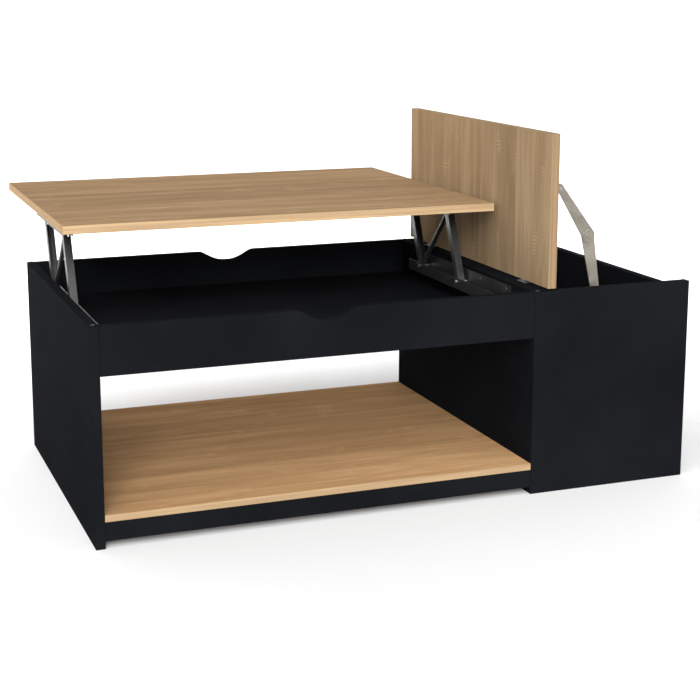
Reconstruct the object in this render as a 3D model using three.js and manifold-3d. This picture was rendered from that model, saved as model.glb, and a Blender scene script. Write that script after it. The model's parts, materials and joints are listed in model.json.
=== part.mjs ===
// Lift top coffee table: an open tray and shelf on the left, a lidded bottle cabinet on the right.
// Millimetres, +Z up. The body is drawn with x from the outer left face, y from the front face and z
// from the floor; the whole is then shifted so that the origin is the bottom centre of its extent.
import * as THREE from 'three';
import { mergeVertices } from 'three/addons/utils/BufferGeometryUtils.js';
import Module from 'manifold-3d';

const wasm = await Module();
wasm.setup();

// ---- driving dimensions -------------------------------------------------------------------------
const length = 1100;
const depth = 615;
const bodyHeight = 370;
const board = 16;
const gap = 0.3;                    // air left between pieces that butt together
const seat = 0.1;                   // air left under pads, hinge leaves and rivet heads
const cutPast = 1;                  // how far a cutter runs past the piece it cuts
const joinLap = 0.1;                // how far a rivet head laps onto its shank
const segments = { rod: 16, outline: 10, cutout: 20, eye: 20, armEnd: 14, strip: 12, hingePin: 12 };

const dividerX = 785;               // left face of the divider between tray and cabinet
const trayHeight = 82.5;
const shelfTop = 57.5;
const shelfThickness = 12;
const toeClearance = 13;            // the plinths stand this far off the floor
const plinthSetback = 1;
const hingeRailWidth = 24;
const hingeRailHeight = 32;
const fingerGap = 16;               // the right end panel stops this far below the rim

const cutoutTopWidth = 112;
const cutoutFloorWidth = 12;
const cutoutDepth = 18.4;
const cutoutShoulderEase = 10;      // how far the rim stays level as each side curve leaves it
const cutoutFloorEase = 22;         // how far the floor stays level as each side curve meets it

const padHeight = 1.6;              // rest pads under the lift top and the lid
const padRadius = 4;
const restHeight = bodyHeight + 2;  // underside of the lift top and of the lid when closed
const liftTopLength = 800;
const liftTopThickness = 15;

// lift mechanism, in the plane of its arms; w is the distance from the board it is screwed to
const armLength = 142;
const armRise = 130;                // height gained from foot pin to head pin with the top raised
const footZ = 340;
const headZClosed = 356;
const frontFootY = 281;
const pinSpacing = 180;
const pinRadius = 3;
const pinHoleRadius = 3.25;
const armHalfDepth = 7.5;
const armSheet = 1.5;
const webNotch = 12;                // the web stops this far short of the head pin, clear of the strut's eye
const armW = [6.6, 20.0];
const strutW = (armW[0] + armW[1]) / 2;
const baseRail = { y: [92, 510], z: [326, 347], wallTop: 364, w: [0.3, 22.5], sheet: 2 };
const topRail = { y: [118, 400], z: [349.5, 371.7], w: [4.6, 22.0], sheet: 1.5 };
const rivetHead = { radius: 5, height: 2 };
const shankStart = { base: 0.2, top: 0.1 };   // how far inside its rail each shank starts
const shankStandOff = 0.2;          // how far each shank runs past its rail
const strut = { eyeRadius: 5.8, eyeWidth: 9, eyeWall: 1.5, tubeRadius: 4.6, boreRadius: 3.1, rodRadius: 2.5 };
const strutTubeSpan = [4.5, 163];   // measured from the head pin
const strutBoreStart = 10.5;
const strutRodEnd = 167.5;          // measured from the foot pin

// lid, its hinges and its folding stay
const lidHinge = { x: 826, z: restHeight };
const lidThickness = 16;
const knuckleRadius = 2;
const hingePinRadius = 1.1;
const hingeBoreRadius = 1.3;
const leafSheet = 1;
const leafWidth = 20;
const lidLeafWidth = 13;
const hingeLength = 30;
const hingeY = [98, depth - 98];
const stay = {
  base: { x: 924, z: 320 },
  elbow: { x: 898, z: 462 },
  lid: { x: 840, z: 548 },
  endRadius: 6.5,
  elbowRadius: 12.5,
  sheet: 2,
  layerGap: 0.5,
  pinRadius: 2.5,
  pinPlay: 0.25,
  headRadius: 4.5,
  headHeight: 1.4,
};
const stayPlate = { halfWidth: 11, below: 22, above: 9 };
const stayBracket = { rootRadius: 12, earRadius: 8, flangeWidth: 22, flangeHalfHeight: 14 };

// ---- derived places -----------------------------------------------------------------------------
const armLean = Math.sqrt(armLength ** 2 - armRise ** 2);
const closedRise = headZClosed - footZ;
const closedReach = Math.sqrt(armLength ** 2 - closedRise ** 2);
const raised = { y: armLean + closedReach, z: armRise - closedRise };
const rearFootY = frontFootY + pinSpacing;
const armAngle = Math.atan2(armRise, armLean);
const strutVector = new THREE.Vector2(frontFootY + armLean - rearFootY, armRise);
const strutAngle = strutVector.angle();
const strutLength = strutVector.length();
const lidEnd = lidHinge.x + knuckleRadius + gap;

// ---- materials ----------------------------------------------------------------------------------
const finish = (color, roughness, metalness) =>
  new THREE.MeshStandardMaterial({ color, roughness, metalness });
const blackBoard = finish(0x1f2124, 0.6, 0);
const oakBoard = finish(0xb98f62, 0.55, 0);
const blackSteel = finish(0x17181a, 0.45, 0.6);
const zinc = finish(0x9b9da0, 0.35, 1);
const staySteel = finish(0x9b8f80, 0.4, 0.9);
const padPlastic = finish(0x2a2a2b, 0.7, 0);

// ---- geometry helpers ---------------------------------------------------------------------------
const alongX = new THREE.Matrix4().makeBasis(
  new THREE.Vector3(0, 1, 0), new THREE.Vector3(0, 0, 1), new THREE.Vector3(1, 0, 0));
const alongY = new THREE.Matrix4().makeBasis(
  new THREE.Vector3(1, 0, 0), new THREE.Vector3(0, 0, 1), new THREE.Vector3(0, -1, 0));

function box(x, y, z) {
  const geometry = new THREE.BoxGeometry(x[1] - x[0], y[1] - y[0], z[1] - z[0]);
  return geometry.translate((x[0] + x[1]) / 2, (y[0] + y[1]) / 2, (z[0] + z[1]) / 2);
}

// A shape drawn in (y, z), swept along x.
function sweepX(shape, x, curveSegments = segments.outline) {
  const geometry = new THREE.ExtrudeGeometry(
    shape, { depth: x[1] - x[0], bevelEnabled: false, curveSegments });
  return geometry.applyMatrix4(alongX).translate(x[0], 0, 0);
}

// A shape drawn in (x, z), swept along y.
function sweepY(shape, y, curveSegments = segments.outline) {
  const geometry = new THREE.ExtrudeGeometry(
    shape, { depth: y[1] - y[0], bevelEnabled: false, curveSegments });
  return geometry.applyMatrix4(alongY).translate(0, y[1], 0);
}

function rodX(y, z, radius, x, sides = segments.rod) {
  const geometry = new THREE.CylinderGeometry(radius, radius, x[1] - x[0], sides);
  return geometry.rotateZ(Math.PI / 2).translate((x[0] + x[1]) / 2, y, z);
}

function rodY(x, z, radius, y, sides = segments.rod) {
  const geometry = new THREE.CylinderGeometry(radius, radius, y[1] - y[0], sides);
  return geometry.translate(x, (y[0] + y[1]) / 2, z);
}

function rodZ(x, y, radius, z, sides = segments.rod) {
  const geometry = new THREE.CylinderGeometry(radius, radius, z[1] - z[0], sides);
  return geometry.rotateX(Math.PI / 2).translate(x, y, (z[0] + z[1]) / 2);
}

function toSolid(geometry) {
  const bare = geometry.index ? geometry.toNonIndexed() : geometry.clone();
  bare.deleteAttribute('normal');
  bare.deleteAttribute('uv');
  const merged = mergeVertices(bare, 1e-4);
  return new wasm.Manifold(new wasm.Mesh({
    numProp: 3,
    vertProperties: merged.attributes.position.array,
    triVerts: new Uint32Array(merged.index.array),
  }));
}

// Joins the first list of geometries and cuts the second list out of them.
function combine(joined, cut = []) {
  let solid = toSolid(joined[0]);
  for (const geometry of joined.slice(1)) {
    solid = solid.add(toSolid(geometry));
  }
  for (const geometry of cut) {
    solid = solid.subtract(toSolid(geometry));
  }
  const mesh = solid.getMesh();
  const result = new THREE.BufferGeometry();
  result.setAttribute('position', new THREE.BufferAttribute(new Float32Array(mesh.vertProperties), 3));
  result.setIndex(new THREE.BufferAttribute(new Uint32Array(mesh.triVerts), 1));
  result.computeVertexNormals();
  return result;
}

// Outline around two circles: a flat bar with round ends, tapered when the radii differ.
function barOutline(a, radiusA, b, radiusB) {
  const heading = Math.atan2(b[1] - a[1], b[0] - a[0]);
  const reach = Math.hypot(b[0] - a[0], b[1] - a[1]);
  const spread = Math.acos((radiusA - radiusB) / reach);
  const shape = new THREE.Shape();
  shape.absarc(a[0], a[1], radiusA, heading + spread, heading - spread + 2 * Math.PI, false);
  shape.absarc(b[0], b[1], radiusB, heading - spread, heading + spread, false);
  return shape;
}

const table = new THREE.Group();
table.position.set(-length / 2, -(raised.y + depth) / 2, 0);

function add(parent, name, geometry, material) {
  const mesh = new THREE.Mesh(geometry, material);
  mesh.name = name;
  parent.add(mesh);
}

// ---- carcass ------------------------------------------------------------------------------------
const trayX = [board + gap, dividerX - gap];
const innerY = [board + gap, depth - board - gap];
const trayZ = [bodyHeight - trayHeight, bodyHeight];
const cutoutX = (trayX[0] + trayX[1]) / 2;

// Tray front or back: a rail with a bowl-shaped finger cut-out in the middle of its top edge.
function trayRail() {
  const floor = trayZ[1] - cutoutDepth;
  const topHalf = cutoutTopWidth / 2;
  const floorHalf = cutoutFloorWidth / 2;
  const shoulder = topHalf - cutoutShoulderEase;
  const foot = floorHalf + cutoutFloorEase;
  const shape = new THREE.Shape();
  shape.moveTo(trayX[0], trayZ[0]);
  shape.lineTo(trayX[1], trayZ[0]);
  shape.lineTo(trayX[1], trayZ[1]);
  shape.lineTo(cutoutX + topHalf, trayZ[1]);
  shape.bezierCurveTo(cutoutX + shoulder, trayZ[1], cutoutX + foot, floor, cutoutX + floorHalf, floor);
  shape.lineTo(cutoutX - floorHalf, floor);
  shape.bezierCurveTo(cutoutX - foot, floor, cutoutX - shoulder, trayZ[1], cutoutX - topHalf, trayZ[1]);
  shape.lineTo(trayX[0], trayZ[1]);
  shape.closePath();
  return shape;
}

function addCarcass() {
  const front = [0, board];
  const back = [depth - board, depth];
  const cabinetX = [dividerX, length];
  const cabinetInnerX = [dividerX + board + gap, length - board - gap];
  const full = [0, bodyHeight];
  const shelfZ = [shelfTop - shelfThickness, shelfTop];
  const plinthZ = [toeClearance, shelfZ[0] - gap];
  const hingeRailX = [cabinetInnerX[0], cabinetInnerX[0] + hingeRailWidth - gap];

  add(table, 'left_side_panel', box([0, board], [0, depth], full), blackBoard);
  add(table, 'tray_front_panel', sweepY(trayRail(), front, segments.cutout), blackBoard);
  add(table, 'tray_back_panel', sweepY(trayRail(), back, segments.cutout), blackBoard);
  add(table, 'tray_floor_panel', box(trayX, innerY, [trayZ[0], trayZ[0] + board]), blackBoard);
  add(table, 'divider_panel', box([dividerX, dividerX + board], innerY, full), blackBoard);
  add(table, 'hinge_rail', box(hingeRailX, innerY, [bodyHeight - hingeRailHeight, bodyHeight]), blackBoard);
  add(table, 'lower_shelf', box(trayX, [0, depth], shelfZ), oakBoard);
  add(table, 'plinth_front', box(trayX, [plinthSetback, plinthSetback + board], plinthZ), blackBoard);
  add(table, 'plinth_back',
    box(trayX, [depth - plinthSetback - board, depth - plinthSetback], plinthZ), blackBoard);
  add(table, 'cabinet_front_panel', box(cabinetX, front, full), blackBoard);
  add(table, 'cabinet_back_panel', box(cabinetX, back, full), blackBoard);
  add(table, 'cabinet_right_panel',
    box([length - board, length], innerY, [0, bodyHeight - fingerGap]), blackBoard);
  add(table, 'cabinet_floor_panel',
    box(cabinetInnerX, innerY, [shelfTop - board, shelfTop]), blackBoard);
}

function addPads() {
  const inset = board / 2;
  const pads = {
    top_pad_front_left: [inset, inset],
    top_pad_back_left: [inset, depth - inset],
    top_pad_front_right: [dividerX + inset, inset],
    top_pad_back_right: [dividerX + inset, depth - inset],
    lid_pad_front: [length - inset, inset],
    lid_pad_back: [length - inset, depth - inset],
  };
  const z = [bodyHeight + seat, bodyHeight + seat + padHeight];
  for (const [name, [x, y]] of Object.entries(pads)) {
    add(table, name, rodZ(x, y, padRadius, z), padPlastic);
  }
}

// ---- lift mechanism, one on each side of the tray -----------------------------------------------
const topGroup = new THREE.Group();
topGroup.position.set(0, raised.y, raised.z);
table.add(topGroup);

// Turns a stretch of distances from the mounting board into a stretch of x.
function stretch(side, w) {
  return side === 'left' ? [board + w[0], board + w[1]] : [dividerX - w[1], dividerX - w[0]];
}

// U channel swept along y: a web and two flanges, drawn in (w, z).
function channel(side, y, flanges, webZ) {
  const walls = flanges.map(({ w, z }) => box(stretch(side, w), y, z));
  const web = box(stretch(side, [flanges[0].w[0], flanges[1].w[1]]), y, webZ);
  return [web, ...walls];
}

function addBaseRail(side) {
  const { y, z, w, sheet, wallTop } = baseRail;
  const flanges = [
    { w: [w[0], w[0] + sheet], z: [z[0], wallTop] },
    { w: [w[1] - sheet, w[1]], z },
  ];
  const holes = [frontFootY, rearFootY].map(
    (footY) => rodX(footY, footZ, pinHoleRadius, stretch(side, [0, w[1] + cutPast])));
  add(table, `${side}_base_rail`,
    combine(channel(side, y, flanges, [z[0], z[0] + sheet]), holes), blackSteel);
}

function addTopRail(side) {
  const { y, z, w, sheet } = topRail;
  const flanges = [{ w: [w[0], w[0] + sheet], z }, { w: [w[1] - sheet, w[1]], z }];
  const holes = [frontFootY - closedReach, rearFootY - closedReach].map(
    (headY) => rodX(headY, headZClosed, pinHoleRadius, stretch(side, [w[0] - cutPast, w[1] + cutPast])));
  add(topGroup, `${side}_top_rail`,
    combine(channel(side, y, flanges, [z[1] - sheet, z[1]]), holes), blackSteel);
}

// Channel arm drawn lying along +y from its foot pin, with its open side towards openSide * z.
function addArm(side, name, footY, openSide) {
  const group = new THREE.Group();
  group.position.set(0, footY, footZ);
  group.rotation.x = armAngle;
  table.add(group);
  const outline = barOutline([0, 0], armHalfDepth, [armLength, 0], armHalfDepth);
  const webZ = [-openSide * armHalfDepth, -openSide * (armHalfDepth - armSheet)].sort((a, b) => a - b);
  const parts = [
    box(stretch(side, armW), [0, armLength - webNotch], webZ),
    sweepX(outline, stretch(side, [armW[0], armW[0] + armSheet]), segments.armEnd),
    sweepX(outline, stretch(side, [armW[1] - armSheet, armW[1]]), segments.armEnd),
  ];
  const holes = [0, armLength].map(
    (y) => rodX(y, 0, pinHoleRadius, stretch(side, [armW[0] - cutPast, armW[1] + cutPast])));
  add(group, `${side}_${name}`, combine(parts, holes), blackSteel);
}

// Rivet through a pivot: a shank with a flat round head on the tray side.
function rivet(side, y, z, w, headed = true) {
  const shank = rodX(y, z, pinRadius, stretch(side, w));
  if (!headed) {
    return shank;
  }
  const headW = [w[1] - joinLap, w[1] + rivetHead.height];
  const head = rodX(y, z, rivetHead.radius, stretch(side, headW), segments.eye);
  return combine([shank, head]);
}

function addPins(side) {
  const baseW = [baseRail.w[0] + shankStart.base, baseRail.w[1] + shankStandOff];
  const topW = [topRail.w[0] + shankStart.top, topRail.w[1] + shankStandOff];
  const eyeClear = strut.eyeWidth / 2 + gap;
  const frontHeadY = frontFootY - closedReach;
  const rearHeadY = rearFootY - closedReach;
  add(table, `${side}_front_foot_pin`, rivet(side, frontFootY, footZ, baseW), zinc);
  add(table, `${side}_rear_foot_pin`, rivet(side, rearFootY, footZ, baseW), zinc);
  add(topGroup, `${side}_rear_head_pin`, rivet(side, rearHeadY, headZClosed, topW), zinc);
  add(topGroup, `${side}_front_head_pin`,
    rivet(side, frontHeadY, headZClosed, [strutW + eyeClear, topW[1]]), zinc);
  add(topGroup, `${side}_front_head_stub`,
    rivet(side, frontHeadY, headZClosed, [topW[0], strutW - eyeClear], false), zinc);
}

// Gas strut between the rear foot pin and the front head pin, drawn along +y.
function addStrut(side) {
  const group = new THREE.Group();
  group.position.set(0, rearFootY, footZ);
  group.rotation.x = strutAngle;
  table.add(group);
  const eyeX = stretch(side, [strutW - strut.eyeWidth / 2, strutW + strut.eyeWidth / 2]);
  const middleX = (eyeX[0] + eyeX[1]) / 2;
  const eye = (y) => rodX(y, 0, strut.eyeRadius, eyeX, segments.eye);
  const bore = (y) => rodX(y, 0, pinHoleRadius, [eyeX[0] - cutPast, eyeX[1] + cutPast]);
  const rod = rodY(middleX, 0, strut.rodRadius, [pinRadius + strut.eyeWall, strutRodEnd]);
  add(group, `${side}_strut_rod`, combine([eye(0), rod], [bore(0)]), zinc);
  const [tubeTop, tubeMouth] = strutTubeSpan.map((span) => strutLength - span);
  const tube = rodY(middleX, 0, strut.tubeRadius, [tubeMouth, tubeTop], segments.eye);
  const hollow = rodY(middleX, 0, strut.boreRadius, [tubeMouth - cutPast, strutLength - strutBoreStart]);
  const tubeSolid = combine([eye(strutLength), tube], [hollow, bore(strutLength)]);
  add(group, `${side}_strut_tube`, tubeSolid, blackSteel);
}

function addLift() {
  const topZ = [restHeight, restHeight + liftTopThickness];
  add(topGroup, 'lift_top', box([0, liftTopLength], [0, depth], topZ), oakBoard);
  for (const side of ['left', 'right']) {
    addBaseRail(side);
    addTopRail(side);
    addArm(side, 'front_arm', frontFootY, -1);
    addArm(side, 'rear_arm', rearFootY, 1);
    addPins(side);
    addStrut(side);
  }
}

// ---- cabinet lid --------------------------------------------------------------------------------
// The lid group is drawn closed, about the hinge axis, and stands open by a quarter turn.
const lidGroup = new THREE.Group();
lidGroup.position.set(lidHinge.x, 0, lidHinge.z);
lidGroup.rotation.y = -Math.PI / 2;
table.add(lidGroup);

function addHinge(label, middleY) {
  const third = hingeLength / 3;
  const start = middleY - hingeLength / 2;
  const y = [start, start + hingeLength];
  const middle = [start + third, start + 2 * third];
  const lidKnuckle = [middle[0] + gap, middle[1] - gap];
  const leafZ = [bodyHeight + seat, bodyHeight + seat + leafSheet];
  const { x, z } = lidHinge;
  const roomRadius = knuckleRadius + 2 * gap;
  const fixed = combine(
    [box([x - leafWidth, x], y, leafZ), rodY(x, z, knuckleRadius, y)],
    [
      rodY(x, z, hingeBoreRadius, [y[0] - cutPast, y[1] + cutPast]),
      box([x - roomRadius, x + roomRadius], middle, [bodyHeight, z + roomRadius]),
    ]);
  add(table, `lid_hinge_leaf_${label}`, fixed, zinc);
  const moving = combine(
    [
      box([knuckleRadius - leafSheet, knuckleRadius], y, [knuckleRadius + gap, lidLeafWidth]),
      box([knuckleRadius - leafSheet, knuckleRadius], lidKnuckle, [0, lidLeafWidth]),
      rodY(0, 0, knuckleRadius, lidKnuckle),
    ],
    [rodY(0, 0, hingeBoreRadius, [y[0] - cutPast, y[1] + cutPast])]);
  add(lidGroup, `lid_hinge_flap_${label}`, moving, zinc);
  add(table, `lid_hinge_pin_${label}`, rodY(x, z, hingePinRadius, y, segments.hingePin), zinc);
}

// Flat folding stay against the front panel. Its strips lie in layers: the base plate next to the
// panel, then the upper arm, then the lower arm and the bracket on the lid.
function addStay() {
  const { base, elbow, lid, sheet } = stay;
  const [plateY, upperY, lowerY] = [0, 1, 2].map((index) => {
    const start = board + gap + index * (sheet + stay.layerGap);
    return [start, start + sheet];
  });
  const through = [board, lowerY[1] + cutPast];
  const hole = (place) => rodY(place.x, place.z, stay.pinRadius + stay.pinPlay, through);
  const headEnd = lowerY[1] + gap;
  const rivetY = (place, shankStart) => combine([
    rodY(place.x, place.z, stay.pinRadius, [shankStart, headEnd + seat]),
    rodY(place.x, place.z, stay.headRadius, [headEnd, headEnd + stay.headHeight]),
  ]);
  const strip = (outline, y) => sweepY(outline, y, segments.strip);

  const plate = box(
    [base.x - stayPlate.halfWidth, base.x + stayPlate.halfWidth], plateY,
    [base.z - stayPlate.below, base.z + stayPlate.above]);
  add(table, 'stay_base_plate', combine([plate], [hole(base)]), staySteel);
  add(table, 'stay_base_pin', rivetY(base, plateY[0] + seat), zinc);

  const lowerOutline = barOutline(
    [base.x, base.z], stay.endRadius, [elbow.x, elbow.z], stay.elbowRadius);
  add(table, 'stay_lower_arm',
    combine([strip(lowerOutline, lowerY)], [hole(base), hole(elbow)]), staySteel);
  add(table, 'stay_elbow_rivet', rivetY(elbow, lowerY[0] + seat), zinc);

  const upperOutline = barOutline(
    [elbow.x, elbow.z], stay.elbowRadius, [lid.x, lid.z], stay.endRadius);
  add(table, 'stay_upper_arm', combine([strip(upperOutline, upperY)], [hole(lid)]), staySteel);

  const lidFace = lidHinge.x + gap;
  const { rootRadius, earRadius, flangeWidth, flangeHalfHeight } = stayBracket;
  const ear = barOutline([lidFace, lid.z], rootRadius, [lid.x, lid.z], earRadius);
  const flange = box(
    [lidFace, lidFace + sheet], [lowerY[0], lowerY[0] + flangeWidth],
    [lid.z - flangeHalfHeight, lid.z + flangeHalfHeight]);
  const rootReach = rootRadius + cutPast;
  const insideLid = box([lidFace - rootReach, lidFace], through, [lid.z - rootReach, lid.z + rootReach]);
  add(table, 'stay_lid_bracket',
    combine([strip(ear, lowerY), flange], [hole(lid), insideLid]), staySteel);
  add(table, 'stay_lid_pin', rivetY(lid, upperY[0] - seat), zinc);
}

function addLid() {
  const underside = restHeight - lidHinge.z;
  add(lidGroup, 'cabinet_lid',
    box([lidEnd - lidHinge.x, length - lidHinge.x], [0, depth], [underside, underside + lidThickness]),
    oakBoard);
  addHinge('front', hingeY[0]);
  addHinge('back', hingeY[1]);
  addStay();
}

addCarcass();
addPads();
addLift();
addLid();

export default table;
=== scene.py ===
"""Looks of the lift top coffee table: finished boards, steelwork, fittings, light and camera."""
import json
import math

import bmesh
import bpy
from mathutils import Matrix, Vector


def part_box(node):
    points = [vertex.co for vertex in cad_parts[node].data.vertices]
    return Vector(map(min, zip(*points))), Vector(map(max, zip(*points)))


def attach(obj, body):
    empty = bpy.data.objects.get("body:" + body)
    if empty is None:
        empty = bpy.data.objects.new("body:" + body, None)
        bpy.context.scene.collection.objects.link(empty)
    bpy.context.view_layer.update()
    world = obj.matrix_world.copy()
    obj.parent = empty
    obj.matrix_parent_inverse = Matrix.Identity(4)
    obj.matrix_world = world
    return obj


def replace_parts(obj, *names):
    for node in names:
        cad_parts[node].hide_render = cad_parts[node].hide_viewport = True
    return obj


MM = 0.001

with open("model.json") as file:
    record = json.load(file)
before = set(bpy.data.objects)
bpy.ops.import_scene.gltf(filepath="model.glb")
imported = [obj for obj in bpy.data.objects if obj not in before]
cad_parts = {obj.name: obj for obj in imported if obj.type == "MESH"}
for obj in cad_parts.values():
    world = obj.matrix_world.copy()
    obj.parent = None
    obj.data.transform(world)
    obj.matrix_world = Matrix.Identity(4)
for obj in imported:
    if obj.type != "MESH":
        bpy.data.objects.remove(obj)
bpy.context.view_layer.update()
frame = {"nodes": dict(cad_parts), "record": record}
NODES = frame["nodes"]
SLOTS = {part["node"]: part["material_slot"] for part in frame["record"]["subparts"]}
BODY_OF = {node: body for body, members in frame["record"]["behaviour"]["bodies"].items() for node in members}
SIDES = ("left", "right")


# ---- shader graphs ---------------------------------------------------------------------------------
class Graph:
    """A material's node tree, with short calls that add and join nodes."""

    def __init__(self, name):
        self.material = bpy.data.materials.new(name)
        self.material.use_nodes = True
        self.tree = self.material.node_tree
        self.shader = self.tree.nodes["Principled BSDF"]
        self.coordinates = self.add("ShaderNodeTexCoord")
        self.place = self.split(self.coordinates.outputs["Object"])
        self.facing = self.split(self.coordinates.outputs["Normal"])

    def add(self, kind, **settings):
        node = self.tree.nodes.new(kind)
        for key, value in settings.items():
            setattr(node, key, value)
        return node

    def put(self, value, socket):
        """Joins an output to a socket, or sets the socket to a plain value."""
        if isinstance(value, bpy.types.NodeSocket):
            self.tree.links.new(value, socket)
        else:
            socket.default_value = value

    def split(self, vector):
        """A vector's parts, by axis."""
        node = self.add("ShaderNodeSeparateXYZ")
        self.put(vector, node.inputs[0])
        return {"x": node.outputs[0], "y": node.outputs[1], "z": node.outputs[2]}

    def vector(self, x, y, z):
        node = self.add("ShaderNodeCombineXYZ")
        for value, socket in zip((x, y, z), node.inputs):
            self.put(value, socket)
        return node.outputs[0]

    def math(self, operation, a, b=0.0):
        node = self.add("ShaderNodeMath", operation=operation)
        self.put(a, node.inputs[0])
        self.put(b, node.inputs[1])
        return node.outputs[0]

    def multiply_add(self, value, factor, addend):
        """Value times factor, plus addend."""
        node = self.add("ShaderNodeMath", operation="MULTIPLY_ADD")
        for number, socket in zip((value, factor, addend), node.inputs):
            self.put(number, socket)
        return node.outputs[0]

    def scaled_place(self, x, y, z):
        """The object's coordinates, each times its own factor."""
        factors = {"x": x, "y": y, "z": z}
        return self.vector(*[self.math("MULTIPLY", self.place[axis], factors[axis]) for axis in "xyz"])

    def shade(self, colour, tone):
        """Colour times a grey tone."""
        return self.mix(1.0, colour, self.vector(tone, tone, tone), "MULTIPLY")

    def scaled(self, value, low, high, to_low=0.0, to_high=1.0):
        """Value carried from one range to another, held at both ends."""
        node = self.add("ShaderNodeMapRange", interpolation_type="SMOOTHSTEP")
        for number, socket in zip((value, low, high, to_low, to_high), node.inputs):
            self.put(number, socket)
        return node.outputs[0]

    def noise(self, vector, detail=3.0, roughness=0.5, distortion=0.0):
        node = self.add("ShaderNodeTexNoise")
        self.put(vector, node.inputs["Vector"])
        for key, number in (("Scale", 1.0), ("Detail", detail), ("Roughness", roughness),
                            ("Distortion", distortion)):
            node.inputs[key].default_value = number
        return node.outputs["Fac"]

    def mix(self, factor, a, b, blend="MIX"):
        node = self.add("ShaderNodeMix", data_type="RGBA", blend_type=blend)
        self.put(factor, node.inputs[0])
        self.put(a, node.inputs[6])
        self.put(b, node.inputs[7])
        return node.outputs[2]

    def set(self, **values):
        """Sets or joins the shader's own sockets, with _ for each space in a socket's name."""
        for key, value in values.items():
            self.put(value, self.shader.inputs[key.replace("_", " ")])

    def bump(self, height, distance, strength=1.0):
        node = self.add("ShaderNodeBump")
        node.inputs["Strength"].default_value = strength
        node.inputs["Distance"].default_value = distance
        self.put(height, node.inputs["Height"])
        self.put(node.outputs[0], self.shader.inputs["Normal"])


NOISE_SPREAD = (0.3, 0.7)           # the part of a noise's range that shows


def grey(value):
    """An even grey, as red, green, blue and alpha."""
    return (value, value, value, 1.0)


# ---- finishes --------------------------------------------------------------------------------------
STAVE_WIDTH = 190.0 * MM
STAVE_START_SPREAD = 7.0            # metres that a stave's figure may be shifted along it
WANDER_STRETCH, WANDER_REACH = 1.3, 50.0 * MM
SAW_MARK_PITCH = 6.2 * MM
SAW_MARK_STRENGTH = 0.40
SAW_PATCH = (21.0, 27.0)            # patches of marks a metre, along and across the grain
SAW_SLANT = (26.0, 48.0)            # bends in a mark a metre, along and across the grain
SAW_SLANT_REACH = 24.0 * MM
RINGS_PER_SWELL = 62.0
# The figure's layers: detail a metre along and across the grain, octaves, roughness, distortion.
FLAME = (1.9, 26.0, 5.0, 0.60, 0.45)
SWELL = (1.2, 12.0, 2.0, 0.50)
GRAIN = (5.0, 130.0, 4.0, 0.66, 0.2)
PORES = (13.0, 310.0, 3.0, 0.62)
FIBRE = (30.0, 900.0, 2.0, 0.55)
BAND_GRAIN = (3.0, 220.0, 4.0, 0.62, 0.3)
# How dark each layer is where it is strongest. Rings and grain are also scaled by the board's contrast.
RING_DEPTH, GRAIN_DEPTH, PORE_DEPTH, FIBRE_DEPTH = 0.55, 0.60, 0.42, 0.16
BAND_TONES = (0.80, 1.08)
OAK_ROUGHNESS = (0.54, 0.68)
OAK_RELIEF, OAK_RELIEF_STRENGTH = 0.12 * MM, 0.55
# Almost matt. The photograph's lid and shelf have a soft sheen, which these values leave out.
OAK_SPECULAR, MELAMINE_SPECULAR = 0.001, 0.0015
OAK_DARK = (0.190, 0.118, 0.062, 1.0)
OAK_MID = (0.318, 0.207, 0.117, 1.0)
OAK_LIGHT = (0.415, 0.283, 0.168, 1.0)
OAK_BAND = (0.470, 0.322, 0.184, 1.0)
OAK_SAW_MARK = (0.520, 0.370, 0.225, 1.0)


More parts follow.
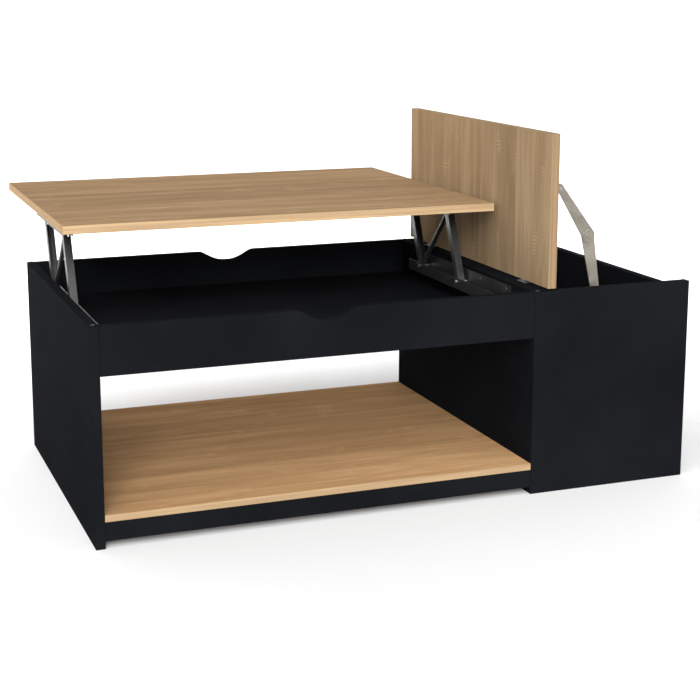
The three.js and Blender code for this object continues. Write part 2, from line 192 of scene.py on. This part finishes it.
def oak(name, along, across, through, seed, contrast, stave_spread, painted_light_tint, band_painted_shade):
    """Oak-effect melamine: staves, flame, fibres and cross saw marks, with a paler band on its edges.

    contrast is how far the flame leaves the middle tone, stave_spread how far the staves differ,
    painted_light_tint a colour that multiplies the faces and paints a board lighter or darker for the light
    that falls on it, and band_painted_shade a tone that multiplies the edge band and paints shade on it.
    """
    g = Graph(name)
    length, width, depth = g.place[along], g.place[across], g.place[through]

    wander = g.noise(g.vector(g.math("MULTIPLY", length, WANDER_STRETCH), seed, 0.0), detail=1.0)
    drift = g.multiply_add(wander, WANDER_REACH, width)
    stave = g.add("ShaderNodeTexVoronoi", voronoi_dimensions="1D")
    stave.inputs["Scale"].default_value = 1.0
    g.put(g.multiply_add(drift, 1.0 / STAVE_WIDTH, seed), stave.inputs["W"])
    choice = g.split(stave.outputs["Color"])
    start = g.multiply_add(choice["y"], STAVE_START_SPREAD, length)

    def streaks(stretch, fineness, detail, roughness, distortion=0.0):
        point = g.vector(g.math("MULTIPLY", start, stretch), g.math("MULTIPLY", width, fineness),
                         g.math("MULTIPLY", depth, fineness))
        return g.noise(point, detail, roughness, distortion)

    flame = streaks(*FLAME)
    swell = streaks(*SWELL)
    grain = streaks(*GRAIN)
    pores = streaks(*PORES)
    fibre = streaks(*FIBRE)
    flamed = g.mix(g.scaled(flame, 0.34, 0.68), OAK_DARK, OAK_LIGHT)
    colour = g.mix(contrast, OAK_MID, flamed)
    rings = g.scaled(g.math("SINE", g.math("MULTIPLY", swell, RINGS_PER_SWELL)), 0.1, 1.0)
    colour = g.mix(g.math("MULTIPLY", rings, RING_DEPTH * contrast), colour, OAK_DARK)
    colour = g.mix(g.scaled(grain, 0.50, 0.74, 0.0, GRAIN_DEPTH * contrast), colour, OAK_DARK)
    colour = g.mix(g.scaled(pores, 0.54, 0.74, 0.0, PORE_DEPTH), colour, OAK_DARK)
    colour = g.mix(g.scaled(fibre, 0.52, 0.74, 0.0, FIBRE_DEPTH), colour, OAK_DARK)
    colour = g.shade(colour, g.scaled(choice["x"], 0.0, 1.0, 1.0 - stave_spread, 1.0 + stave_spread))

    def blotches(position, scales, detail):
        stretch, fineness = scales
        point = g.vector(g.math("MULTIPLY", position, stretch), g.math("MULTIPLY", width, fineness), seed)
        return g.noise(point, detail)

    patch = blotches(start, SAW_PATCH, 1.0)
    slant = blotches(length, SAW_SLANT, 3.0)
    phase = g.multiply_add(slant, SAW_SLANT_REACH, length)
    stroke = g.math("SINE", g.math("MULTIPLY", phase, 2 * math.pi / SAW_MARK_PITCH))
    marks = g.math("MULTIPLY", g.scaled(stroke, 0.10, 1.0), g.scaled(patch, 0.64, 0.72))
    colour = g.mix(g.math("MULTIPLY", marks, SAW_MARK_STRENGTH), colour, OAK_SAW_MARK)
    # Painted light and shade: each board's faces are made lighter or darker by its own tint, for the light
    # that falls on that board.
    colour = g.mix(1.0, colour, painted_light_tint, "MULTIPLY")

    edge = g.scaled(g.math("ABSOLUTE", g.facing[through]), 0.35, 0.75, 1.0, 0.0)
    # Painted shade: each board's edge band is darkened by its own tone, for the light that falls on that
    # board.
    band_low, band_high = (tone * band_painted_shade for tone in BAND_TONES)
    band_tone = g.scaled(streaks(*BAND_GRAIN), 0.35, 0.70, band_low, band_high)
    band = g.shade(OAK_BAND, band_tone)
    g.set(Base_Color=g.mix(edge, colour, band),
          Roughness=g.scaled(fibre, *NOISE_SPREAD, *OAK_ROUGHNESS),
          Specular_IOR_Level=OAK_SPECULAR)
    relief = g.math("SUBTRACT", g.math("MULTIPLY", marks, 0.5), g.scaled(fibre, 0.45, 0.75))
    g.bump(relief, OAK_RELIEF, OAK_RELIEF_STRENGTH)
    return g.material


MELAMINE_DARK = (0.0060, 0.0066, 0.0078, 1.0)
MELAMINE_LIGHT = (0.0080, 0.0088, 0.0104, 1.0)
PEARL_GRAINS, HAZE_PATCHES = 1400.0, 6.0         # a metre
WIPE_STREAKS = (14.0, 14.0, 60.0)                # a metre, along x, y and z
MELAMINE_ROUGHNESS, MELAMINE_ROUGHNESS_SPREAD = 0.56, 0.12


def melamine():
    """Matt black melamine with a fine pearl grain and faint handling marks."""
    g = Graph("black_melamine")
    pearl = g.noise(g.scaled_place(*[PEARL_GRAINS] * 3), 2.0)
    haze = g.noise(g.scaled_place(*[HAZE_PATCHES] * 3), 4.0)
    wiped = g.noise(g.scaled_place(*WIPE_STREAKS), 3.0)
    g.set(Base_Color=g.mix(g.scaled(haze, *NOISE_SPREAD), MELAMINE_DARK, MELAMINE_LIGHT),
          Roughness=g.multiply_add(g.math("ADD", haze, wiped), MELAMINE_ROUGHNESS_SPREAD, MELAMINE_ROUGHNESS),
          Specular_IOR_Level=MELAMINE_SPECULAR)
    g.bump(pearl, 0.05 * MM, 0.5)
    return g.material


STEEL_CLOUDS = 45.0                 # a metre
PLASTIC_GRAINS = 900.0              # a metre
PLASTIC_ROUGHNESS = (0.60, 0.74)


def metal(name, dark, light, metallic, roughness, grain, relief):
    """Steel finish. grain is how many streaks or grains a metre has along x, y and z, relief is in mm."""
    g = Graph(name)
    fine = g.noise(g.scaled_place(*grain), 3.0)
    cloud = g.noise(g.scaled_place(*[STEEL_CLOUDS] * 3), 3.0)
    g.set(Base_Color=g.mix(g.scaled(cloud, *NOISE_SPREAD), dark, light),
          Metallic=metallic,
          Roughness=g.scaled(g.math("ADD", fine, cloud), 0.7, 1.3, *roughness),
          Specular_IOR_Level=0.5)
    g.bump(fine, relief * MM, 0.6)
    return g.material


def soft_plastic():
    """Fine-grained black plastic of the rest pads."""
    g = Graph("pad_plastic")
    fine = g.noise(g.scaled_place(*[PLASTIC_GRAINS] * 3), 2.0)
    g.set(Base_Color=g.mix(fine, grey(0.016), grey(0.024)),
          Roughness=g.scaled(fine, *NOISE_SPREAD, *PLASTIC_ROUGHNESS),
          Specular_IOR_Level=0.4)
    g.bump(fine, 0.04 * MM, 0.5)
    return g.material


# The last two numbers of each board are painted light and shade: a tint and an edge band tone that make the
# one oak finish lighter or darker on each board for the light it gets.
OAK_BY_NODE = {
    "lift_top": oak("oak_lift_top", "x", "y", "z", 3.7, 0.38, 0.07, (0.87, 0.87, 0.85, 1), 0.98),
    "lower_shelf": oak("oak_lower_shelf", "x", "y", "z", 8.4, 0.40, 0.10, (1.46, 1.31, 1.12, 1), 0.84),
    "cabinet_lid": oak("oak_cabinet_lid", "z", "y", "x", 5.2, 0.36, 0.05, (0.99, 1.05, 1.07, 1), 0.56),
}
FINISHES = {
    "black_board": melamine(),
    "black_steel": metal("black_powder_coat", grey(0.016), grey(0.025), 0.0, (0.28, 0.42),
                         (1300, 1300, 1300), 0.05),
    "zinc_steel": metal("zinc_plate", grey(0.36), grey(0.52), 1.0, (0.26, 0.44), (900, 900, 900), 0.02),
    "stay_steel": metal("stay_plate", (0.20, 0.178, 0.150, 1), (0.27, 0.242, 0.205, 1), 0.55, (0.38, 0.54),
                        (1600, 60, 160), 0.02),
    "pad": soft_plastic(),
}


# ---- pieces ----------------------------------------------------------------------------------------
def piece(name, mesh, body, slot, material=None):
    """Puts a mesh into the scene on a body, in the finish of a material slot."""
    obj = bpy.data.objects.new(name, mesh)
    bpy.context.scene.collection.objects.link(obj)
    mesh.materials.clear()
    mesh.materials.append(material or FINISHES[slot])
    weighted = obj.modifiers.new("face_weighted_shading", "WEIGHTED_NORMAL")
    weighted.keep_sharp = True
    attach(obj, body)
    return obj


SMOOTH_ANGLE = math.radians(40.0)
BEVEL_ANGLE = math.radians(42)
FLAT_ANGLE = math.radians(0.5)
WELD_DISTANCE = 0.002 * MM
EASED_STEPS = 2
TURNED_STEPS = 32
EDGE_RADIUS = {"black_board": 0.6 * MM, "oak_board": 0.6 * MM, "black_steel": 0.25 * MM,
               "stay_steel": 0.3 * MM, "zinc_steel": 0.2 * MM}


def to_mesh(name, bm):
    """Mesh from bm, shaded smooth apart from its sharper edges."""
    for face in bm.faces:
        face.smooth = True
    for edge in bm.edges:
        edge.smooth = len(edge.link_faces) == 2 and edge.calc_face_angle(0.0) < SMOOTH_ANGLE
    mesh = bpy.data.meshes.new(name)
    bm.to_mesh(mesh)
    bm.free()
    return mesh


def softened(node, radius):
    """A finished copy of a CAD solid, with its sharp edges rounded, that stands for the solid."""
    bm = bmesh.new()
    bm.from_mesh(NODES[node].data)
    bmesh.ops.remove_doubles(bm, verts=bm.verts, dist=WELD_DISTANCE)
    bmesh.ops.dissolve_limit(bm, angle_limit=FLAT_ANGLE, verts=bm.verts, edges=bm.edges)
    sharp = [edge for edge in bm.edges if edge.calc_face_angle(0.0) > BEVEL_ANGLE]
    bmesh.ops.bevel(bm, geom=sharp, offset=radius, segments=EASED_STEPS, profile=0.5,
                    affect="EDGES", clamp_overlap=True)
    bmesh.ops.recalc_face_normals(bm, faces=bm.faces)
    obj = piece(f"{node}_finished", to_mesh(f"{node}_finished", bm), BODY_OF[node], SLOTS[node],
                OAK_BY_NODE.get(node))
    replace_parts(obj, node)


for node, slot in SLOTS.items():
    if slot != "pad":
        softened(node, EDGE_RADIUS[slot])


def turned(name, profile, centre, direction, body, slot, closed=False):
    """A turned piece along direction from centre.

    profile is (radius, height) points from axis to axis, or a closed loop clear of the axis. A third
    number from 0 to 1 draws that ring in to four lobes, which is how a cross recess is cut.
    """
    bm = bmesh.new()
    turn = Vector((0, 0, 1)).rotation_difference(Vector(direction)).to_matrix()
    rings = []
    for radius, height, *lobe in profile:
        depth = lobe[0] if lobe else 0.0
        points = []
        for i in range(TURNED_STEPS if radius else 1):
            angle = 2 * math.pi * i / TURNED_STEPS
            reach = radius * (1 - depth * (1 - abs(math.cos(2 * angle)) ** 3))
            offset = turn @ Vector((reach * math.cos(angle), reach * math.sin(angle), height))
            points.append(bm.verts.new(Vector(centre) + offset))
        rings.append(points)
    if closed:
        rings.append(rings[0])
    for low, high in zip(rings, rings[1:]):
        for i in range(TURNED_STEPS):
            j = (i + 1) % TURNED_STEPS
            corners = [low[i % len(low)], low[j % len(low)], high[j % len(high)], high[i % len(high)]]
            bm.faces.new(list(dict.fromkeys(corners)))
    bmesh.ops.recalc_face_normals(bm, faces=bm.faces)
    return piece(name, to_mesh(name, bm), body, slot)


def ring(name, inner, outer, span, centre, direction, body, slot):
    """A collar with eased corners. span is its two ends, measured along direction from centre."""
    start, end = span
    ease = (outer - inner) * 0.25
    turned(name, [(inner, start), (outer - ease, start), (outer, start + ease), (outer, end - ease),
                  (outer - ease, end), (inner, end)], centre, direction, body, slot, closed=True)


def screw(name, seat, direction, radius, height, body, slot="zinc_steel"):
    """Pan head with a cross recess, standing on seat. Its profile is in shares of radius and height."""
    recess = radius * 0.52
    turned(name, [(0, 0), (radius, 0), (radius, height * 0.30), (radius * 0.90, height * 0.72),
                  (radius * 0.66, height), (recess, height, 0.55), (recess * 0.62, height * 0.35, 0.55),
                  (0, height * 0.25)], seat, direction, body, slot)


def add_pads():
    """Domed rest pads with a rolled rim, in place of the plain pad solids."""
    for node in [name for name, slot in SLOTS.items() if slot == "pad"]:
        low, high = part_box(node)
        radius, height = (high.x - low.x) / 2, high.z - low.z
        profile = [(0, 0), (radius * 0.94, 0), (radius, height * 0.18), (radius, height * 0.52),
                   (radius * 0.93, height * 0.80), (radius * 0.72, height * 0.95), (0, height)]
        centre = ((low.x + high.x) / 2, (low.y + high.y) / 2, low.z)
        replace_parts(turned(f"{node}_domed", profile, centre, (0, 0, 1), "carcass", "pad"), node)


add_pads()


# ---- fixings ---------------------------------------------------------------------------------------
RAIL_SHEET = 2.0 * MM
TOP_RAIL_SHEET = 1.5 * MM
STAY_SHEET = 2.0 * MM
SCREW_HEIGHT = 1.4 * MM
BASE_SCREW_RADIUS, TOP_SCREW_RADIUS = 4.2 * MM, 3.6 * MM
BASE_SCREW_DROP = 8.5 * MM          # below the base rail's upper edge
# Where screws stand, as shares of a rail's length or of a stay fitting's height.
BASE_SCREW_SHARES = (0.04, 0.30, 0.62, 0.95)
TOP_SCREW_SHARES = (0.08, 0.36, 0.64, 0.92)
STAY_BASE_SHARES = (0.16, 0.42)
STAY_BRACKET_SHARES = (0.25, 0.75)
STAY_BRACKET_DEPTH_SHARE = 0.64
STAY_BASE_SCREW = (2.6 * MM, 1.0 * MM)           # radius and height
STAY_BRACKET_SCREW = (3.2 * MM, 1.2 * MM)
STOP_RIB = (14.0 * MM, 1.8 * MM, 0.42 * MM)
STOP_RIB_DISTANCE = 9.0 * MM        # from the elbow's rivet
BAR_EASE = 0.3                      # of the bar's thinnest side
STRUT_MOUTH = 163.0 * MM            # from the strut's top eye
COLLAR_INNER, COLLAR_OUTER = 2.7 * MM, 4.9 * MM
COLLAR_OVER_TUBE, COLLAR_PAST_MOUTH = 6.0 * MM, 1.2 * MM


def middle_of(node):
    """The middle of a node's box, in the part's frame."""
    low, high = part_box(node)
    return (Vector(low) + Vector(high)) / 2


def add_base_rail_screws():
    """Screws through each base rail's upright wall into the board behind it."""
    for side, inward in (("left", 1), ("right", -1)):
        node = f"{side}_base_rail"
        low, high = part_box(node)
        wall = (low.x if inward > 0 else high.x) + inward * RAIL_SHEET
        length = high.y - low.y
        for number, share in enumerate(BASE_SCREW_SHARES):
            seat = (wall, low.y + share * length, high.z - BASE_SCREW_DROP)
            screw(f"{node}_screw_{number + 1}", seat, (inward, 0, 0), BASE_SCREW_RADIUS, SCREW_HEIGHT,
                  BODY_OF[node], "black_steel")


def add_top_rail_screws():
    """Screws up through each top rail's web into the lift top."""
    for side in SIDES:
        node = f"{side}_top_rail"
        low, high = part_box(node)
        for number, share in enumerate(TOP_SCREW_SHARES):
            seat = ((low.x + high.x) / 2, low.y + share * (high.y - low.y), high.z - TOP_RAIL_SHEET)
            screw(f"{node}_screw_{number + 1}", seat, (0, 0, -1), TOP_SCREW_RADIUS, SCREW_HEIGHT,
                  BODY_OF[node])


def add_stay_screws():
    """Screws that hold the stay's base plate to the cabinet front and its bracket to the lid."""
    low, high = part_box("stay_base_plate")
    for number, rise in enumerate(STAY_BASE_SHARES):
        seat = ((low.x + high.x) / 2, high.y, low.z + rise * (high.z - low.z))
        screw(f"stay_base_screw_{number + 1}", seat, (0, 1, 0), *STAY_BASE_SCREW, BODY_OF["stay_base_plate"])
    low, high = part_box("stay_lid_bracket")
    for number, rise in enumerate(STAY_BRACKET_SHARES):
        seat = (low.x + STAY_SHEET, low.y + STAY_BRACKET_DEPTH_SHARE * (high.y - low.y),
                low.z + rise * (high.z - low.z))
        screw(f"stay_bracket_screw_{number + 1}", seat, (1, 0, 0), *STAY_BRACKET_SCREW,
              BODY_OF["stay_lid_bracket"])


def bar(name, middle, along, size, out, body, slot):
    """A straight bar with eased edges. size is its length, width and height, and out the way it rises."""
    long_way, rise = Vector(along).normalized(), Vector(out).normalized()
    turn = Matrix((long_way, rise.cross(long_way), rise)).transposed()
    bm = bmesh.new()
    bmesh.ops.create_cube(bm, size=1.0)
    for vert in bm.verts:
        local = Vector(part * extent for part, extent in zip(vert.co, size))
        local.z += size[2] / 2
        vert.co = Vector(middle) + turn @ local
    bmesh.ops.bevel(bm, geom=bm.edges[:], offset=min(size) * BAR_EASE, segments=EASED_STEPS, profile=0.5,
                    affect="EDGES")
    return piece(name, to_mesh(name, bm), body, slot)


def add_stay_elbow():
    """The rivet's low head and the pressed stop rib beside it, on the upper arm's open face."""
    elbow, lid = middle_of("stay_elbow_rivet"), middle_of("stay_lid_pin")
    elbow.y = lid.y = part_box("stay_upper_arm")[0].y
    towards_lid = (lid - elbow).normalized()
    body = BODY_OF["stay_upper_arm"]
    turned("stay_elbow_head", [(0, 0), (4.4 * MM, 0), (4.0 * MM, 0.28 * MM), (2.4 * MM, 0.42 * MM),
                               (0, 0.45 * MM)], elbow, (0, -1, 0), body, "stay_steel")
    bar("stay_stop_rib", elbow + towards_lid * STOP_RIB_DISTANCE, towards_lid.cross(Vector((0, 1, 0))),
        STOP_RIB, (0, -1, 0), body, "zinc_steel")


def add_strut_collars():
    """A collar at each gas strut's mouth, where the rod comes out of the tube."""
    for side in SIDES:
        foot, head = (middle_of(f"{side}_{name}") for name in ("rear_foot_pin", "front_head_stub"))
        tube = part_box(f"{side}_strut_tube")
        foot.x = head.x = (tube[0].x + tube[1].x) / 2
        along = (foot - head).normalized()
        span = (STRUT_MOUTH - COLLAR_OVER_TUBE, STRUT_MOUTH + COLLAR_PAST_MOUTH)
        ring(f"{side}_strut_collar", COLLAR_INNER, COLLAR_OUTER, span, head, along,
             BODY_OF[f"{side}_strut_tube"], "black_steel")


add_base_rail_screws()
add_top_rail_screws()
add_stay_screws()
add_stay_elbow()
add_strut_collars()


# ---- stage, light and camera -----------------------------------------------------------------------
def add_stage():
    """Pale floor that curves up into a plain backdrop far behind the table."""
    half_width, front, back, curve, top = 60.0, -60.0, 9.0, 3.0, 14.0
    arc_steps = 10
    bm = bmesh.new()
    angles = [math.radians(90 * i / arc_steps) for i in range(arc_steps + 1)]
    arc = [(back + curve * math.sin(angle), curve * (1 - math.cos(angle))) for angle in angles]
    outline = [(front, 0.0)] + arc + [(back + curve, top)]
    rows = [[bm.verts.new((x, y, z)) for x in (-half_width, half_width)] for y, z in outline]
    for near, far in zip(rows, rows[1:]):
        bm.faces.new((near[0], near[1], far[1], far[0]))
    stage = bpy.data.objects.new("studio_floor", to_mesh("studio_floor", bm))
    g = Graph("studio_paper")
    tone = g.noise(g.scaled_place(3.0, 3.0, 3.0), 2.0)
    g.set(Base_Color=g.mix(tone, grey(0.77), grey(0.79)), Roughness=0.85, Specular_IOR_Level=0.1)
    stage.data.materials.append(g.material)
    bpy.context.scene.collection.objects.link(stage)


def add_sun(name, azimuth, elevation, softness, strength):
    """A broad, even light. azimuth is degrees from the table's front towards +x."""
    data = bpy.data.lights.new(name, "SUN")
    data.energy = strength
    data.angle = math.radians(softness)
    light = bpy.data.objects.new(name, data)
    side, rise = math.radians(azimuth), math.radians(elevation)
    source = Vector((math.sin(side) * math.cos(rise), -math.cos(side) * math.cos(rise), math.sin(rise)))
    light.rotation_euler = source.to_track_quat("Z", "Y").to_euler()
    bpy.context.scene.collection.objects.link(light)


LAMP_SIZE = (2.4, 0.8)
LAMP_POWER = 210
LAMP_PLACE = (0.1, 0.74, 2.0)
LAMP_DIRECTION = (0, 1.0, -0.2)


def add_background_lamp():
    """Lamp above and behind the table that faces away from it, and lights the floor it would shade."""
    data = bpy.data.lights.new("background_lamp", "AREA")
    data.shape = "RECTANGLE"
    data.size, data.size_y = LAMP_SIZE
    data.energy = LAMP_POWER
    light = bpy.data.objects.new("background_lamp", data)
    light.location = LAMP_PLACE
    light.rotation_euler = Vector(LAMP_DIRECTION).to_track_quat("-Z", "Y").to_euler()
    bpy.context.scene.collection.objects.link(light)


def add_world(strength):
    """Even white light from all round."""
    world = bpy.data.worlds.new("studio_air")
    world.use_nodes = True
    background = world.node_tree.nodes["Background"]
    background.inputs["Color"].default_value = grey(1.0)
    background.inputs["Strength"].default_value = strength
    bpy.context.scene.world = world


CAMERA_PLACE = (-0.981, -2.691, 0.887)
CAMERA_YAW, CAMERA_PITCH, CAMERA_ROLL = (math.radians(a) for a in (20.83, 11.30, 0.064))
CAMERA_LENS, CAMERA_SENSOR = 77.0, 36.0
CAMERA_SHIFT = -0.0857


def add_camera():
    """Camera fitted to the photograph's corners."""
    ahead = Vector((math.sin(CAMERA_YAW) * math.cos(CAMERA_PITCH),
                    math.cos(CAMERA_YAW) * math.cos(CAMERA_PITCH), -math.sin(CAMERA_PITCH)))
    level = Vector((math.cos(CAMERA_YAW), -math.sin(CAMERA_YAW), 0.0))
    upright = level.cross(ahead)
    right = level * math.cos(CAMERA_ROLL) + upright * math.sin(CAMERA_ROLL)
    up = upright * math.cos(CAMERA_ROLL) - level * math.sin(CAMERA_ROLL)
    data = bpy.data.cameras.new("camera")
    data.lens = CAMERA_LENS
    data.sensor_width = CAMERA_SENSOR
    data.shift_y = CAMERA_SHIFT
    data.dof.use_dof = False
    camera = bpy.data.objects.new("camera", data)
    turn = Matrix((right, up, -ahead)).transposed().to_4x4()
    camera.matrix_world = Matrix.Translation(CAMERA_PLACE) @ turn
    bpy.context.scene.collection.objects.link(camera)
    bpy.context.scene.camera = camera


add_stage()
add_sun("key_front_left", -56, 46, 30, 1.0)
add_sun("low_front_fill", -16, 26, 34, 3.9)
add_background_lamp()
add_world(0.52)
add_camera()
bpy.context.scene.view_settings.view_transform = "Standard"
